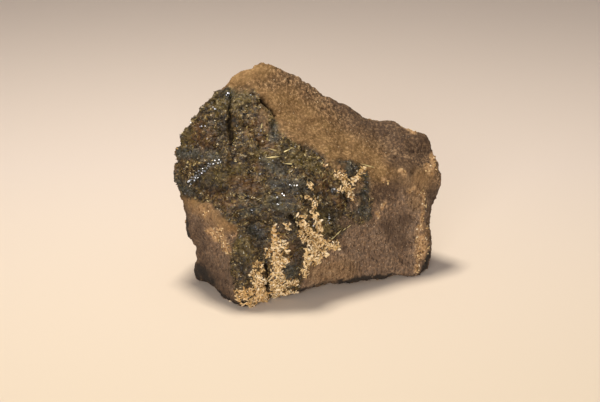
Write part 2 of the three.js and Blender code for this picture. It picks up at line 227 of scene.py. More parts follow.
# Strokes of each zone, as seen from the front: reach in mm, and a line of spots on the sight plane
zoneStrokes = {
    "crust": [
        # right strand, from its tip down
        (0.5, [(3.2, 5.8), (3.7, 4.6), (4.1, 3.6)]),
        (0.4, [(2.2, 1), (3.5, 0.8), (4.3, 0.1), (4.3, -3.1)]),
        (0.5, [(5.3, 1.1), (5.7, -0.2)]),
        (0.65, [(4.4, -0.8), (4.3, -3.1), (4.7, -5.6), (5.2, -6.6)]),
        (0.4, [(-0.2, -5), (1.7, -5.8)]),
        (0.6, [(0.6, -7.3), (2.6, -7.9)]),
        (0.8, [(-0.2, -7.6), (1.2, -8.8), (3.2, -10.5), (5.2, -11), (6.9, -11.8)]),
        (1.2, [(5.9, -8), (6.4, -10)]),
        (1.9, [(1.6, -11), (3, -13)]),
        (1.8, [(3.2, -13.5), (5, -15.5)]),
        (1.2, [(6.4, -13.2), (9.6, -15)]),
        (1.2, [(10.4, -14.5), (12.4, -15.6)]),
        (2.6, [(5.2, -16), (4.6, -19)]),
        (1.0, [(7.6, -17.8), (8.8, -18.8)]),
        (1.3, [(2.6, -18.8), (2.2, -21.5), (1.8, -24)]),
        (0.5, [(0.5, -23.6), (1.7, -25.5)]),
        # left column
        (0.5, [(-9.1, -9), (-8.6, -11.5)]),
        (0.5, [(-4.9, -8.2), (-4.1, -9.5)]),
        (1.5, [(-8.4, -13), (-8, -14.6)]),
        (0.8, [(-11.9, -16.2), (-10.4, -17)]),
        (0.5, [(-12.1, -18.2), (-10.9, -19.4)]),
        (1.9, [(-8.2, -15), (-8, -19.2)]),
        (0.6, [(-5.3, -14.4), (-4.5, -17.8)]),
        (0.9, [(-9.4, -20.4), (-5.3, -20.7)]),
        (1.8, [(-8.2, -21.6), (-8.1, -24.8)]),
        (2.7, [(-8.2, -26.6), (-7.9, -30.6)]),
        (1.2, [(-4, -28.6), (-2, -28.6)]),
        (0.8, [(-5, -31.8), (-0.9, -32)]),
        # left strand and the toe
        (0.8, [(-15.5, -21.7), (-14.8, -22.4)]),
        (0.7, [(-13, -22.3), (-12.9, -24.3)]),
        (1.8, [(-15.4, -25.6), (-15, -28)]),
        (2.8, [(-19.4, -33), (-14.6, -32.6)]),
        (1.6, [(-16, -35), (-13.6, -33.4)]),
        (1.2, [(-14, -30), (-13, -28)]),
        # the forked streak on the right
        (0.6, [(12.1, 10.7), (12.8, 9.8)]),
        (0.85, [(13.4, 8.4), (15.4, 6.8), (16.4, 5)]),
        (0.6, [(16.6, 4.6), (17.6, 2.6), (18.4, 0)]),
        (0.4, [(17.6, 2.6), (19, 2.4)]),
        (0.6, [(21.8, 11), (21, 9.2), (18.2, 7.2)]),
        (0.5, [(13.4, 3.6), (15, 4.3)]),
    ],
    "rim": [  # pale worn edges and spots of the skin
        (1.0, [(36.3, 26.6), (39.6, 24.2)]),
        (1.1, [(45.8, 15.2), (46.4, 12.6), (45.4, 10.4)]),
        (0.7, [(43.6, 11.8), (44.8, 9.4)]),
        (0.9, [(34.8, 10.2), (36.1, 9)]),
        (0.6, [(29.2, 7.2), (30.3, 6.2)]),
        (0.7, [(37.4, 4), (39.6, 4.4)]),
        (0.7, [(40.6, 2.6), (43, 2.6)]),
        (0.6, [(42.6, 1.4), (42.4, -4), (42, -7)]),
        (1.9, [(42.4, -9.8), (42, -13), (41.7, -18.6)]),
        (0.9, [(40.6, -21), (40, -23.2)]),
        (0.5, [(26.5, -4.2), (26.7, -5.8)]),
        (0.6, [(28.9, -0.8), (28, -2.6)]),
        (0.8, [(-34.4, -2.2), (-32.6, -3.7)]),
        (0.9, [(-31.6, -9.6), (-29, -12.6)]),
        (1.3, [(-28, -9.6), (-26, -14.2)]),
        (1.0, [(-26.6, -14.8), (-25, -17)]),
        (0.6, [(9, 11.6), (8.2, 12.8)]),
        (0.7, [(15.2, 8.6), (14, 11.2)]),
    ],
    "steel": [  # tones of the fresh break, down to dark
        (1.2, [(-38, 6.5), (-36, 8.6), (-32.2, 11.8), (-27.3, 13.8)]),
        (2.4, [(-8.6, 6.5), (2.4, 5)]),
        (1.2, [(-19.5, -4.3), (-13.5, -1.7)]),
        (1.8, [(-24.6, 37)]),
        (1.8, [(-44, 7), (-38, 3)]),
        (1.8, [(-45, 17), (-38, 17), (-29, 16)]),
        (2.0, [(15, 13), (18, 11)]),
        (1.8, [(23.4, 10), (24, 7.4)]),
        (1.8, [(21.8, 4), (22.4, 2.4)]),
        (2.2, [(19.6, -2.6), (23.4, -4)]),
        (1.8, [(23.6, -5.4)]),
        (1.8, [(-13, 14), (-6, 11)]),
        (1.6, [(-17, -9.5), (-14, -11)]),
        (1.8, [(-4.5, -26), (-3, -23)]),
        (2.2, [(-9, 0), (-3, -3)]),
        (1.5, [(-9, 26), (-9, 21.6)]),
        (1.2, [(11.2, 3.8), (12.4, 3.4)]),
    ],
    "rust": [
        (2.4, [(-34, 18), (-31, 22)]),
        (2.0, [(-46, 10), (-44, 13)]),
        (1.8, [(-36, 22), (-35, 26)]),
        (1.8, [(-15, 13)]),
        (2.6, [(-22, 7), (-16, 5)]),
        (2.2, [(-10, 19), (-14, 22)]),
        (2.2, [(-24, -1), (-30, 3)]),
        (2.0, [(-6, -12), (-3, -16)]),
        (2.4, [(8, 6), (12, 3)]),
        (2.0, [(14, -1), (12, 2)]),
        (2.0, [(-1, -15), (-3, -20)]),
        (1.6, [(-18, 24), (-15, 28)]),
    ],
    "olive": [
        (3.5, [(-28, 34), (-20, 36)]),
        (3.0, [(-14, 16), (-4, 17)]),
        (2.4, [(-2, 15), (6, 12)]),
        (2.6, [(-30, 8), (-22, 10)]),
        (2.2, [(-12, 1), (-8, -1)]),
        (2.4, [(8, -4), (10, -9)]),
        (2.6, [(-21, -14), (-18, -19)]),
        (2.0, [(-6, 28), (-9, 30)]),
        (2.2, [(-44, 20), (-38, 24)]),
        (1.4, [(11, 1.4), (12, 2.4)]),
    ],
    "dark": [
        (1.5, [(-44, 17), (-36, 16)]),
        (2.2, [(-46, 6), (-38, 2)]),
        (2.4, [(-28, 5), (-34, 7)]),
        (1.8, [(-27.4, 28), (-27, 24)]),
        (2.2, [(-8, -5), (-2, -8)]),
        (2.0, [(-14, -6), (-18, -9)]),
        (2.4, [(10, -3), (14, -8)]),
        (2.0, [(15.4, 2.4), (16.8, -0.4)]),
        (1.4, [(14.4, 9.6), (18, 9)]),
        (1.6, [(23.6, 9.4), (23.4, 5.6)]),
        (2.0, [(-20, -22), (-17, -26)]),
        (2.2, [(-2.6, -10), (0, -16), (-1.6, -24)]),
        (2.0, [(-13.5, -12), (-13, -18)]),
        (2.0, [(18, -9), (14, -13)]),
        (1.6, [(22.4, 0.6), (20.6, 2)]),
        (1.2, [(33.4, 8), (34.6, 7.6)]),
    ],
    "gold": [  # tones of the skin, except for ochre, which stains the crust
        (8, [(-6, 33), (2, 26), (12, 19), (22, 14)]),
        (7, [(-24, 43), (-14, 47)]),
        (4, [(20, 13), (30, 9.5), (43, 7)]),
        (2, [(22, 13), (26, 12), (28, 9)]),
        (2.2, [(-40, 0.5), (-33, -2.5), (-26, -8), (-21, -9)]),
        (1.5, [(-21.5, -8.5), (-17.5, -7.5), (-11, -6)]),
        (3.5, [(-16, 38), (-11, 36)]),
    ],
    "tan": [
        (3, [(-24, 43), (-16, 46)]),
        (2.4, [(-37, -1), (-32, -4.5), (-27, -9)]),
        (3, [(40, 0), (42, 8)]),
        (4, [(6, -25), (16, -24)]),
    ],
    "ochre": [
        (3.5, [(-22, -33), (-13, -33)]),
        (1.5, [(-11.5, -8), (-8, -12)]),
    ],
    "plum": [
        (12, [(8, -26), (24, -22), (38, -20)]),
        (9, [(22, -12), (36, -8), (40, 0)]),
        (6, [(-34, -8), (-30, -16), (-24, -28)]),
        (5, [(-44, -6), (-40, -20)]),
    ],
    # painted shade on the underside bulge at the lower left, along the edges that turn away and on the far
    # knob, over a darker brown of the skin
    "dusk": [
        (7, [(22, 31), (34, 24), (42, 20)]),
        (3.5, [(14, 35), (24, 29)]),
        (3, [(33, 14), (38, 11)]),
        (2.4, [(46.4, 3), (46, -10)]),
        (6, [(-36, -22), (-30, -29)]),
        (3, [(-44, -2), (-38, -16)]),
        (3, [(31, -9), (34, -14)]),
        (3.0, [(27, 3), (32, 5)]),
        (2.2, [(36, -6.5)]),
        (1.8, [(-35, -8), (-33.4, -16)]),
        (2.4, [(-42, 0), (-38.5, -10), (-36, -18)]),
        (4.5, [(-37, -24), (-30, -30), (-24, -35)]),
    ],
    "dusty": [  # skin-coloured dust on the fresh break
        (2.0, [(25.4, 9), (26, 2)]),
        (1.6, [(19.4, 1), (18.4, -2)]),
        (1.4, [(20.6, 6.4), (20, 4.4)]),
        (1.8, [(15, -7.4), (18, -8.6)]),
        (1.3, [(14.4, 11.6), (11, 13.4)]),
        (1.6, [(-12.6, 31), (-12, 26)]),
        (1.4, [(-22, 40), (-18, 39.6)]),
        (1.2, [(1.6, -25), (3, -21)]),
    ],
    "under": [  # the dark lower edge: painted shade where the edge is undercut
        (
            0.8,
            [
                (-35.3, -24.2), (-34.8, -28.4), (-28, -32.2), (-22, -35.8), (-16.6, -37.4),
                (-12.2, -35.4), (-9.7, -33.6), (-5, -33), (1.5, -31.2), (7.5, -29.3), (12.8, -28.6),
                (19.4, -27.2), (26.7, -26.4), (32, -26), (36, -26.6), (40, -26.6), (43.4, -22.8),
                (44.6, -18),
            ],
        ),
        (1.8, [(-33.8, -24), (-31, -28.4)]),
        (0.9, [(5, -30.6), (12.8, -29.8), (20, -28.2), (30, -27)]),
        (0.6, [(-40.4, -3.8), (-37.4, -17.3), (-36, -24.2)]),
    ],
    "cut": [  # the fissure and narrow gaps, carved in and painted near-black as the shade inside them
        (0.4, [(-24.3, 36.6), (-24.4, 33)]),
        (0.75, [(-24.5, 33.5), (-24.3, 27), (-23.9, 20)]),
        (0.5, [(-3.2, -5.8), (-0.7, -8.3), (2, -10.5), (4.4, -13.2)]),
        (0.4, [(-11.5, -22), (-11.4, -28), (-11.6, -32.5)]),
        (0.35, [(-13.4, 35.8), (-11.8, 34.4), (-10, 32.2), (-8.4, 29.6)]),
        (0.4, [(-17, -32.6), (-16.8, -34.6)]),
        (0.45, [(15.6, 2.6), (16.6, 0)]),
    ],
}

# Fresh dark patches on the sides that the front view doesn't show: reach in mm, and a line in space
freshBehind = [
    (15, [(-46, 0, 50), (-44, 6, 42)]),
    (7, [(-30, 24, 30), (-16, 29, 16), (2, 31, 9)]),
    (5, [(12, 26, 52), (26, 27, 42)]),
    (4, [(34, 26, 22), (39, 22, 14)]),
]

# Clouds of each tone on the sides that the front view doesn't show: size in mm, seed and level
cloudsBehind = {
    "gold": (16, 90, 0.4),
    "plum": (22, 91, 0.3),
    "dusk": (12, 92, 0.2),
    "rust": (5, 94, -0.1),
    "tan": (9, 98, -0.4),
    "olive": (6, 95, 0),
    "dark": (5, 96, -0.1),
    "steel": (5, 97, -0.3),
}

# How the borders of the zones run: sizes and reaches in mm
borders = {
    "wander": (5, 0.35),
    "tremble": (1.8, 0.6),
    "fresh": 1.2,
    "ragged": ((9, 6), (3.5, 3)),
    "behind": 2,
    "dustCover": 0.65,  # the share of the fresh break that dust hides
    "turn": 6,  # how quickly the front's paint ends where the stone turns away
}


def paintZones(points, normals):
    # the weight of each zone at each point, from 0 to 1
    spots = onSight(points)
    for seed, (size, reach) in ((60, borders["wander"]), (70, borders["tremble"])):
        spots = spots + reach * np.stack([softNoise(points, size, seed + k) for k in range(2)], -1)
    front = np.clip(facing(points, normals) * borders["turn"] + 0.3, 0, 1)
    hidden = 1 - front
    weights = {name: paintStrokes(spots, lines) * front for name, lines in zoneStrokes.items()}
    behind = np.zeros(len(points))
    ragged = sum(reach * softNoise(points, size, 80 + k) for k, (size, reach) in enumerate(borders["ragged"]))
    for reach, line in freshBehind:
        inner = reach + ragged - lineDistance(points, line)
        behind = np.maximum(behind, np.clip(inner / borders["behind"] + 0.5, 0, 1))
    seen = np.clip(insideOutline(spots, freshOutline) / borders["fresh"] + 0.5, 0, 1)
    weights["fresh"] = (front * seen + hidden * behind) * (1 - borders["dustCover"] * weights["dusty"])
    for name, (size, seed, level) in cloudsBehind.items():
        weights[name] += hidden * np.clip(level + 1.3 * softNoise(points, size, seed), 0, 1)
    weights["rim"] += hidden * np.clip(6 * softNoise(points, 4, 93) - 4.2, 0, 1)  # a few small spots
    return weights


# The stone: a fine copy of the solid, with the surface relief of each zone
stoneShape = {
    "voxel": 0.54,  # mm, which keeps the stone under 200,000 triangles
    "coarseVoxel": 1.0,  # mm, while trying things
    "freshChips": [(4.2, 0.6), (1.9, 0.34)],  # size and height in mm
    "freshSink": 0.2,  # mm that the break lies lower than the skin
    "rindChips": [(4.6, 0.24), (2.0, 0.13)],
    "rindLumps": [(2.4, 0.14), (1.1, 0.12)],
    "crustHeight": 0.2,
    "rimHeight": 0.35,
    "flakeSize": 1.5,
    "cutDepth": 1.5,
}


def makeStone():
    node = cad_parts["magnetite_rock"]
    copied = node.copy()
    copied.data = node.data.copy()
    copied.name = "magnetiteStone"
    bpy.context.scene.collection.objects.link(copied)
    makeActive(copied)
    bpy.ops.object.mode_set(mode="EDIT")
    bpy.ops.mesh.select_all(action="SELECT")
    bpy.ops.mesh.remove_doubles(threshold=0.01 * mm)
    bpy.ops.object.mode_set(mode="OBJECT")
    remesh = copied.modifiers.new("fine skin", "REMESH")
    remesh.mode = "VOXEL"
    remesh.voxel_size = stoneShape["voxel"] * mm
    bpy.ops.object.modifier_apply(modifier=remesh.name)
    return copied


def noiseSum(noise, points, sizes, seed):
    return sum(height * noise(points, size, seed + 10 * k) for k, (size, height) in enumerate(sizes))


stone = makeStone()
print("stone copied:", len(stone.data.vertices), "points")

stonePoints = readPoints(stone.data) / mm
stoneNormals = readPoints(stone.data, "normal")
zones = paintZones(stonePoints, stoneNormals)
print("zones painted")

freshRelief = noiseSum(chipNoise, stonePoints, stoneShape["freshChips"], 10) - stoneShape["freshSink"]
rindRelief = noiseSum(chipNoise, stonePoints, stoneShape["rindChips"], 110)
rindRelief += noiseSum(softNoise, stonePoints, stoneShape["rindLumps"], 140)
flaked = 0.5 + 0.5 * chipNoise(stonePoints, stoneShape["flakeSize"], 30)
relief = zones["fresh"] * freshRelief + (1 - zones["fresh"]) * rindRelief
relief += stoneShape["crustHeight"] * zones["crust"] * flaked
relief += stoneShape["rimHeight"] * zones["rim"] * flaked
relief -= stoneShape["cutDepth"] * zones["cut"]
writePoints(stone.data, stonePoints + stoneNormals * relief[:, None])
for name, weight in zones.items():
    addAttribute(stone.data, name, np.clip(weight, 0, 1))
makeActive(stone)
bpy.ops.object.shade_smooth()
print("stone shaped")


def takeShape():
    # reads the points and faces of the start that is active, then removes it
    start = bpy.context.object
    points = readPoints(start.data)
    faces = np.array([list(face.vertices) for face in start.data.polygons])
    bpy.data.objects.remove(start)
    return points, faces


def crystalShape():
    # an octahedron, the habit of magnetite: a pyramid and its mirror image, merged
    deselectAll()
    bpy.ops.mesh.primitive_cone_add(
        vertices=4, radius1=1, depth=1, end_fill_type="NOTHING", location=(0, 0, 0.5)
    )
    bpy.ops.object.transform_apply(location=True)
    bpy.ops.object.mode_set(mode="EDIT")
    bpy.ops.mesh.select_all(action="SELECT")
    bpy.ops.mesh.duplicate()
    bpy.ops.transform.resize(value=(1, 1, -1), center_override=(0, 0, 0))
    bpy.ops.mesh.select_all(action="SELECT")
    bpy.ops.mesh.remove_doubles()
    bpy.ops.mesh.normals_make_consistent(inside=False)
    bpy.ops.object.mode_set(mode="OBJECT")
    return takeShape()


def leafShape():
    # a thin seven-sided leaf of crust: narrower underneath, its middle raised inside a sloping edge
    deselectAll()
    bpy.ops.mesh.primitive_cone_add(vertices=7, radius1=0.72, radius2=1, depth=1)
    for face in bpy.context.object.data.polygons:
        face.select = face.normal.z > 0.9
    bpy.ops.object.mode_set(mode="EDIT")
    bpy.ops.mesh.inset(thickness=0.38)
    bpy.ops.transform.translate(value=(0, 0, 0.3))
    bpy.ops.mesh.select_all(action="SELECT")
    bpy.ops.mesh.quads_convert_to_tris()
    bpy.ops.object.mode_set(mode="OBJECT")
    return takeShape()


def randomTurns(random, count):
    # evenly random rotations, as matrices
    q = random.normal(size=(count, 4))
    q /= np.linalg.norm(q, axis=1, keepdims=True)
    w, x, y, z = q.T
    rows = [
        [1 - 2 * (y * y + z * z), 2 * (x * y - w * z), 2 * (x * z + w * y)],
        [2 * (x * y + w * z), 1 - 2 * (x * x + z * z), 2 * (y * z - w * x)],
        [2 * (x * z - w * y), 2 * (y * z + w * x), 1 - 2 * (x * x + y * y)],
    ]
    return np.moveaxis(np.array(rows), -1, 0)


def flatTurns(random, normals, lean, along=None):
    # rotations that lay a bit's Z on the surface normal, leaning by about lean degrees, and its X at
    # random or along a direction
    up = normals + math.tan(math.radians(lean)) * random.uniform(-1, 1, normals.shape)
    up /= np.linalg.norm(up, axis=1, keepdims=True)
    ahead = random.normal(size=normals.shape) if along is None else along
    side = np.cross(ahead, up)
    side /= np.linalg.norm(side, axis=1, keepdims=True)
    return np.stack([np.cross(up, side), side, up], -1)


def pickSpots(random, count, weight):
    # random spots on the stone's faces, more of them where the weight is higher
    mesh = stone.data
    mesh.calc_loop_triangles()
    corners = np.empty(len(mesh.loop_triangles) * 3, np.int32)
    mesh.loop_triangles.foreach_get("vertices", corners)
    corners = corners.reshape(-1, 3)
    points = readPoints(mesh) / mm
    a, b, c = [points[corners[:, k]] for k in range(3)]
    outward = np.cross(b - a, c - a)
    area = np.linalg.norm(outward, axis=1)
    odds = area * weight[corners].mean(1)
    chosen = random.choice(len(corners), count, p=odds / odds.sum())
    share = random.dirichlet((1, 1, 1), count)
    spots = sum(share[:, k : k + 1] * points[corners[chosen, k]] for k in range(3))
    return spots, outward[chosen] / area[chosen, None], corners[chosen, 0]


def apartOnly(spots, gap):
    # which spots to keep so that no two are closer than the gap
    kept = []
    for index, spot in enumerate(spots):
        if not kept or np.min(np.linalg.norm(spots[kept] - spot, axis=1)) > gap:
            kept.append(index)
    return kept


def touchStone(spots):
    # where lines of sight through spots of the sight plane meet the stone, in mm, each with the way
    # out there, without the lines that miss it
    ahead, up = lookDirections()
    met = []
    for across, rise in spots:
        ray = sight["distance"] * ahead + np.array([across, 0, 0]) + rise * up
        found, place, normal, _ = stone.ray_cast(Vector(sight["eye"]) * mm, Vector(ray).normalized())
        if found:
            met.append((np.array(place) / mm, np.array(normal)))
    return np.array(met)


def growPiece(name, shape, spots, turns, sizes, jitter, random, attributes):
    # one joined mesh of many small stretched copies of a shape
    start, faces = shape
    bent = start[None] * sizes[:, None, :]
    bent = bent * (1 + jitter * random.uniform(-1, 1, (len(spots), len(start), 1)))
    points = (np.einsum("nij,nkj->nki", turns, bent) + spots[:, None, :]).reshape(-1, 3)
    allFaces = (faces[None] + len(start) * np.arange(len(spots))[:, None, None]).reshape(-1, 3)
    mesh = bpy.data.meshes.new(name)
    mesh.from_pydata(np.zeros((len(points), 3)), [], allFaces.tolist())
    writePoints(mesh, points)
    for label, values in attributes.items():
        addAttribute(mesh, label, np.repeat(values, len(start)))
    piece = bpy.data.objects.new(name, mesh)
    bpy.context.scene.collection.objects.link(piece)
    print(name, "grown:", len(spots))
    return piece


def fewer(count):
    return count


def randomSizes(random, piece, keys, count):
    # a size for each key and each bit, from the ranges in the piece's dictionary
    return np.stack([random.uniform(*piece[key], count) for key in keys], -1)


def zonesAt(names, nearest):
    return {name: np.clip(zones[name][nearest], 0, 1) for name in names}


crystal = crystalShape()
leaf = leafShape()
bare = np.clip(zones["fresh"] - 1.2 * zones["crust"] - 2 * zones["cut"], 0, 1) ** 2
patchNames = ("steel", "rust", "olive", "dark")
skinNames = ("gold", "plum", "dusk", "tan")

# Crystals of magnetite all over the fresh break: sizes in mm, sink as a share of the radius
grains = {
    "count": 23000,
    "radius": (0.26, 0.64),
    "flat": (0.5, 1),
    "stretch": (0.8, 1.7),
    "sink": 0.52,
    "jitter": 0.25,
    "seed": 5,
}

random = np.random.default_rng(grains["seed"])
count = fewer(grains["count"])
spots, normals, nearest = pickSpots(random, count, bare)
radius = random.uniform(*grains["radius"], count) * random.uniform(0.6, 1, count)
magnetiteGrains = growPiece(
    "magnetiteGrains",
    crystal,
    spots - normals * (grains["sink"] * radius)[:, None],
    randomTurns(random, count),
    radius[:, None] * np.insert(randomSizes(random, grains, ("flat", "stretch"), count), 0, 1, axis=1),
    grains["jitter"],
    random,
    {"shade": random.uniform(0, 1, count), **zonesAt(patchNames, nearest)},
)

# Leaves of cream crust with dark gaps between them: sizes in mm, of half a leaf
leaves = {
    "tries": 9000,
    "gap": 0.75,
    "length": (0.4, 1.0),
    "width": (0.24, 0.44),
    "thick": (0.14, 0.3),
    "lift": 0.15,
    "lean": 34,  # degrees
    "jitter": 0.2,
    "clump": 1.6,
    "seed": 6,
}

random = np.random.default_rng(leaves["seed"])
clumps = softNoise(stonePoints, leaves["clump"], 31)
pale = np.clip(zones["crust"] * 1.8 - 0.78 + 0.7 * clumps, 0, 1) * (zones["crust"] > 0.2)
pale *= np.clip(1 - 1.5 * zones["cut"], 0, 1)
spots, normals, nearest = pickSpots(random, leaves["tries"], pale)
kept = apartOnly(spots, leaves["gap"])
spots, normals = spots[kept], normals[kept]
crustLeaves = growPiece(
    "crustLeaves",
    leaf,
    spots + normals * leaves["lift"],
    flatTurns(random, normals, leaves["lean"]),
    randomSizes(random, leaves, ("length", "width", "thick"), len(kept)),
    leaves["jitter"],
    random,
    {"shade": random.uniform(0, 1, len(kept)), **zonesAt(["ochre"], nearest[kept])},
)

# Crumbs of crust between the leaves, and on the worn edges of the skin
crumbs = {
    "count": 2600,
    "length": (0.3, 0.75),
    "width": (0.2, 0.45),
    "thick": (0.12, 0.3),
    "lift": 0.12,
    "lean": 35,  # degrees
    "jitter": 0.25,
    "onRim": 0.2,
    "seed": 9,
}

random = np.random.default_rng(crumbs["seed"])
count = fewer(crumbs["count"])
spots, normals, nearest = pickSpots(random, count, pale + crumbs["onRim"] * zones["rim"])
crustCrumbs = growPiece(
    "crustCrumbs",
    crystal,
    spots + normals * crumbs["lift"],
    flatTurns(random, normals, crumbs["lean"]),
    randomSizes(random, crumbs, ("length", "width", "thick"), count),
    crumbs["jitter"],
    random,
    {
        "shade": random.uniform(0, 1, count) ** (1 + 1.5 * np.clip(zones["rim"][nearest], 0, 1)),
        **zonesAt(["ochre"], nearest),
    },
)

# Golden blades: named ones with their ends as seen from the front, and many short ones. Sizes are of
# half a blade, in mm
blades = {
    "named": [
        [(9.8, -13.8), (12.2, -12)],
        [(12, -12.1), (14.4, -10.2)],
        [(14.2, -10.4), (16, -9)],
        [(15.8, -9.2), (17.5, -7.9)],
        [(-11.8, 17.5), (-5.5, 17.2)],
        [(-9, 16.2), (-3, 17)],
        [(-12, 14.8), (-7, 15.2)],
        [(-6, 12.5), (-1, 12.9)],
        [(-13.5, 24.5), (-12.9, 27)],
        [(6, 5.5), (9, 8)],
        [(20.5, 12.8), (26, 11.2)],
        [(7, 12.7), (8.3, 12.6)],
    ],
    "namedWidth": 0.26,
    "namedThick": 0.18,
    "namedShade": 0.92,
    "count": 700,
    "length": (0.5, 1.4),
    "width": (0.06, 0.12),
    "thick": (0.06, 0.12),
    "lift": 0.3,
    "lean": 14,  # degrees
    "flow": 7,  # mm over which their direction changes
    "jitter": 0.08,
    "seed": 7,
}

random = np.random.default_rng(blades["seed"])
count = fewer(blades["count"])
ends = np.array([touchStone(line) for line in blades["named"]])
named = ends[:, :, 0] + 0.5 * ends[:, :, 1]
namedWay = named[:, 1] - named[:, 0]
namedSizes = np.array([
    (np.linalg.norm(way) / 2, blades["namedWidth"], blades["namedThick"]) for way in namedWay
])
coloured = np.clip(zones["olive"] + zones["rust"], 0, 1)
spots, normals, _ = pickSpots(random, count, bare * (0.25 + coloured))
flow = np.stack([softNoise(spots, blades["flow"], 200 + k) for k in range(3)], -1)
flow = flow + 0.25 * random.normal(size=spots.shape)
goldenBlades = growPiece(
    "goldenBlades",
    crystal,
    np.concatenate([named.mean(1), spots + normals * blades["lift"]]),
    np.concatenate([
        flatTurns(random, ends[:, :, 1].sum(1), 0, namedWay),
        flatTurns(random, normals, blades["lean"], flow),
    ]),
    np.concatenate([namedSizes, randomSizes(random, blades, ("length", "width", "thick"), count)]),
    blades["jitter"],
    random,
    {
        "shade": np.concatenate([
            np.full(len(named), blades["namedShade"]), random.uniform(0, 1, count) ** 1.6,
        ])
    },
)

# Bright crystal faces: groups, each with how many, how far they stray and their line as seen from the
# front, and small ones everywhere
glints = {
    "groups": [
        (34, 0.7, [(-38, 6.5), (-36, 8.6), (-32.2, 11.8), (-27.3, 13.8)]),
        (7, 0.7, [(-25.2, 38), (-24.4, 36.4)]),
        (3, 0.4, [(-6.4, 2.5), (-5.7, 2.1)]),
        (4, 0.4, [(-16.6, -3.3), (-15.8, -2.9)]),
        (3, 0.3, [(-13.6, -1.7), (-13, -1.5)]),
        (2, 0.2, [(-8, -1.5), (-7.6, -1.3)]),
        (7, 0.6, [(-16, -9.4), (-13, -9.5)]),
        (2, 0.2, [(-20.6, -12.6), (-20.4, -12.4)]),
        (6, 0.15, [(10, -4.6), (10, -7.5)]),
        (5, 0.7, [(11, 3.8), (12.4, 3.3)]),
        (2, 0.3, [(-3.9, 5.6), (-3.5, 5.4)]),
        (3, 0.4, [(-1.5, 5.4), (-0.9, 5.2)]),
        (2, 0.2, [(-7.8, 0.9), (-7.6, 0.7)]),
        (3, 0.4, [(-29.6, 32.1), (-29.4, 31.9)]),
        (2, 0.3, [(-13.4, 24), (-13.2, 24)]),
        (3, 0.5, [(-34.5, 26), (-33, 25.5)]),
    ],
    "radius": (0.26, 0.46),
    "count": 200,
    "smallRadius": (0.18, 0.34),
    "lift": 0.3,
    "tilt": 11,  # degrees
    "jitter": 0.04,
    "seed": 11,
}
keyLamp = (-0.07, 0.05, 0.55)  # metres
frontLamp = (-0.15, -0.95, 0.24)

random = np.random.default_rng(glints["seed"])
aimed = []
for number, spread, line in glints["groups"]:
    across, rise = np.transpose(line)
    for step in np.linspace(0, len(line) - 1, number):
        spot = [np.interp(step, range(len(line)), values) for values in (across, rise)]
        aimed.append(spot + random.uniform(-spread, spread, 2))
met = touchStone(aimed)
spots, normals, _ = pickSpots(random, fewer(glints["count"]), bare * (0.3 + zones["steel"]))
allSpots = np.concatenate([met[:, 0], spots])
allNormals = np.concatenate([met[:, 1], normals])
radius = np.concatenate([
    random.uniform(*glints["radius"], len(met)), random.uniform(*glints["smallRadius"], len(spots)),
])
towardsEye = np.array(sight["eye"]) - allSpots
towardsEye /= np.linalg.norm(towardsEye, axis=1, keepdims=True)
# Overhangs are out of reach of the key lamp, so their faces are aimed at the front one
towardsLamp = np.where(allNormals[:, 2:] > 0, keyLamp, frontLamp) / mm - allSpots
towardsLamp /= np.linalg.norm(towardsLamp, axis=1, keepdims=True)
halfway = towardsEye + towardsLamp
halfway[len(met) :] = normals + 0.8 * random.uniform(-1, 1, normals.shape)
halfway /= np.linalg.norm(halfway, axis=1, keepdims=True)
# An octahedron's face points along (1, 1, 1), so each crystal is turned by this first
faceTurn = flatTurns(random, np.array([[1.0, 1.0, 1.0]]) / math.sqrt(3), 0)[0]
magnetiteFaces = growPiece(
    "magnetiteFaces",
    crystal,
    allSpots + glints["lift"] * allNormals + 0.1 * halfway,
    flatTurns(random, halfway, glints["tilt"]) @ faceTurn.T,
    np.repeat(radius[:, None], 3, 1),
    glints["jitter"],
    random,
    {"shade": random.uniform(0, 1, len(allSpots))},
)

# Grit of the brown skin: radius in mm, sink as a share of it
grit = {"count": 17000, "radius": (0.14, 0.4), "sink": 0.35, "jitter": 0.2, "seed": 8}

random = np.random.default_rng(grit["seed"])
count = fewer(grit["count"])
notSkin = zones["fresh"] + zones["crust"] + zones["cut"] + zones["under"]
spots, normals, nearest = pickSpots(random, count, np.clip(1 - notSkin, 0, 1))
radius = random.uniform(*grit["radius"], count) * random.uniform(0.5, 1, count)
skinGrit = growPiece(
    "skinGrit",
    crystal,
    spots - normals * (grit["sink"] * radius)[:, None],
    randomTurns(random, count),
    radius[:, None] * random.uniform(0.6, 1.3, (count, 3)),
    grit["jitter"],
    random,
    {"shade": random.uniform(0, 1, count), **zonesAt(skinNames, nearest)},
)

blend = {"data_type": "RGBA"}
multiply = {"data_type": "RGBA", "blend_type": "MULTIPLY"}

# Each zone's tint, and how strongly it lies over the colour below
patchTints = (
    ("olive", 0.56, "#645931"),
    ("rust", 0.53, "#6c4a28"),
    ("dark", 0.62, "#262015"),
    ("steel", 0.56, "#494f4c"),
)
skinTints = (
    ("gold", 0.5, "#8e6d38"),
    ("plum", 0.5, "#8b7868"),
    # darker skin, and painted shade where the front strokes of this zone lie
    ("dusk", 0.65, "#493626"),
    ("tan", 0.3, "#b4925f"),
)
crustTints = (("ochre", 0.35, "#dcb474"),)

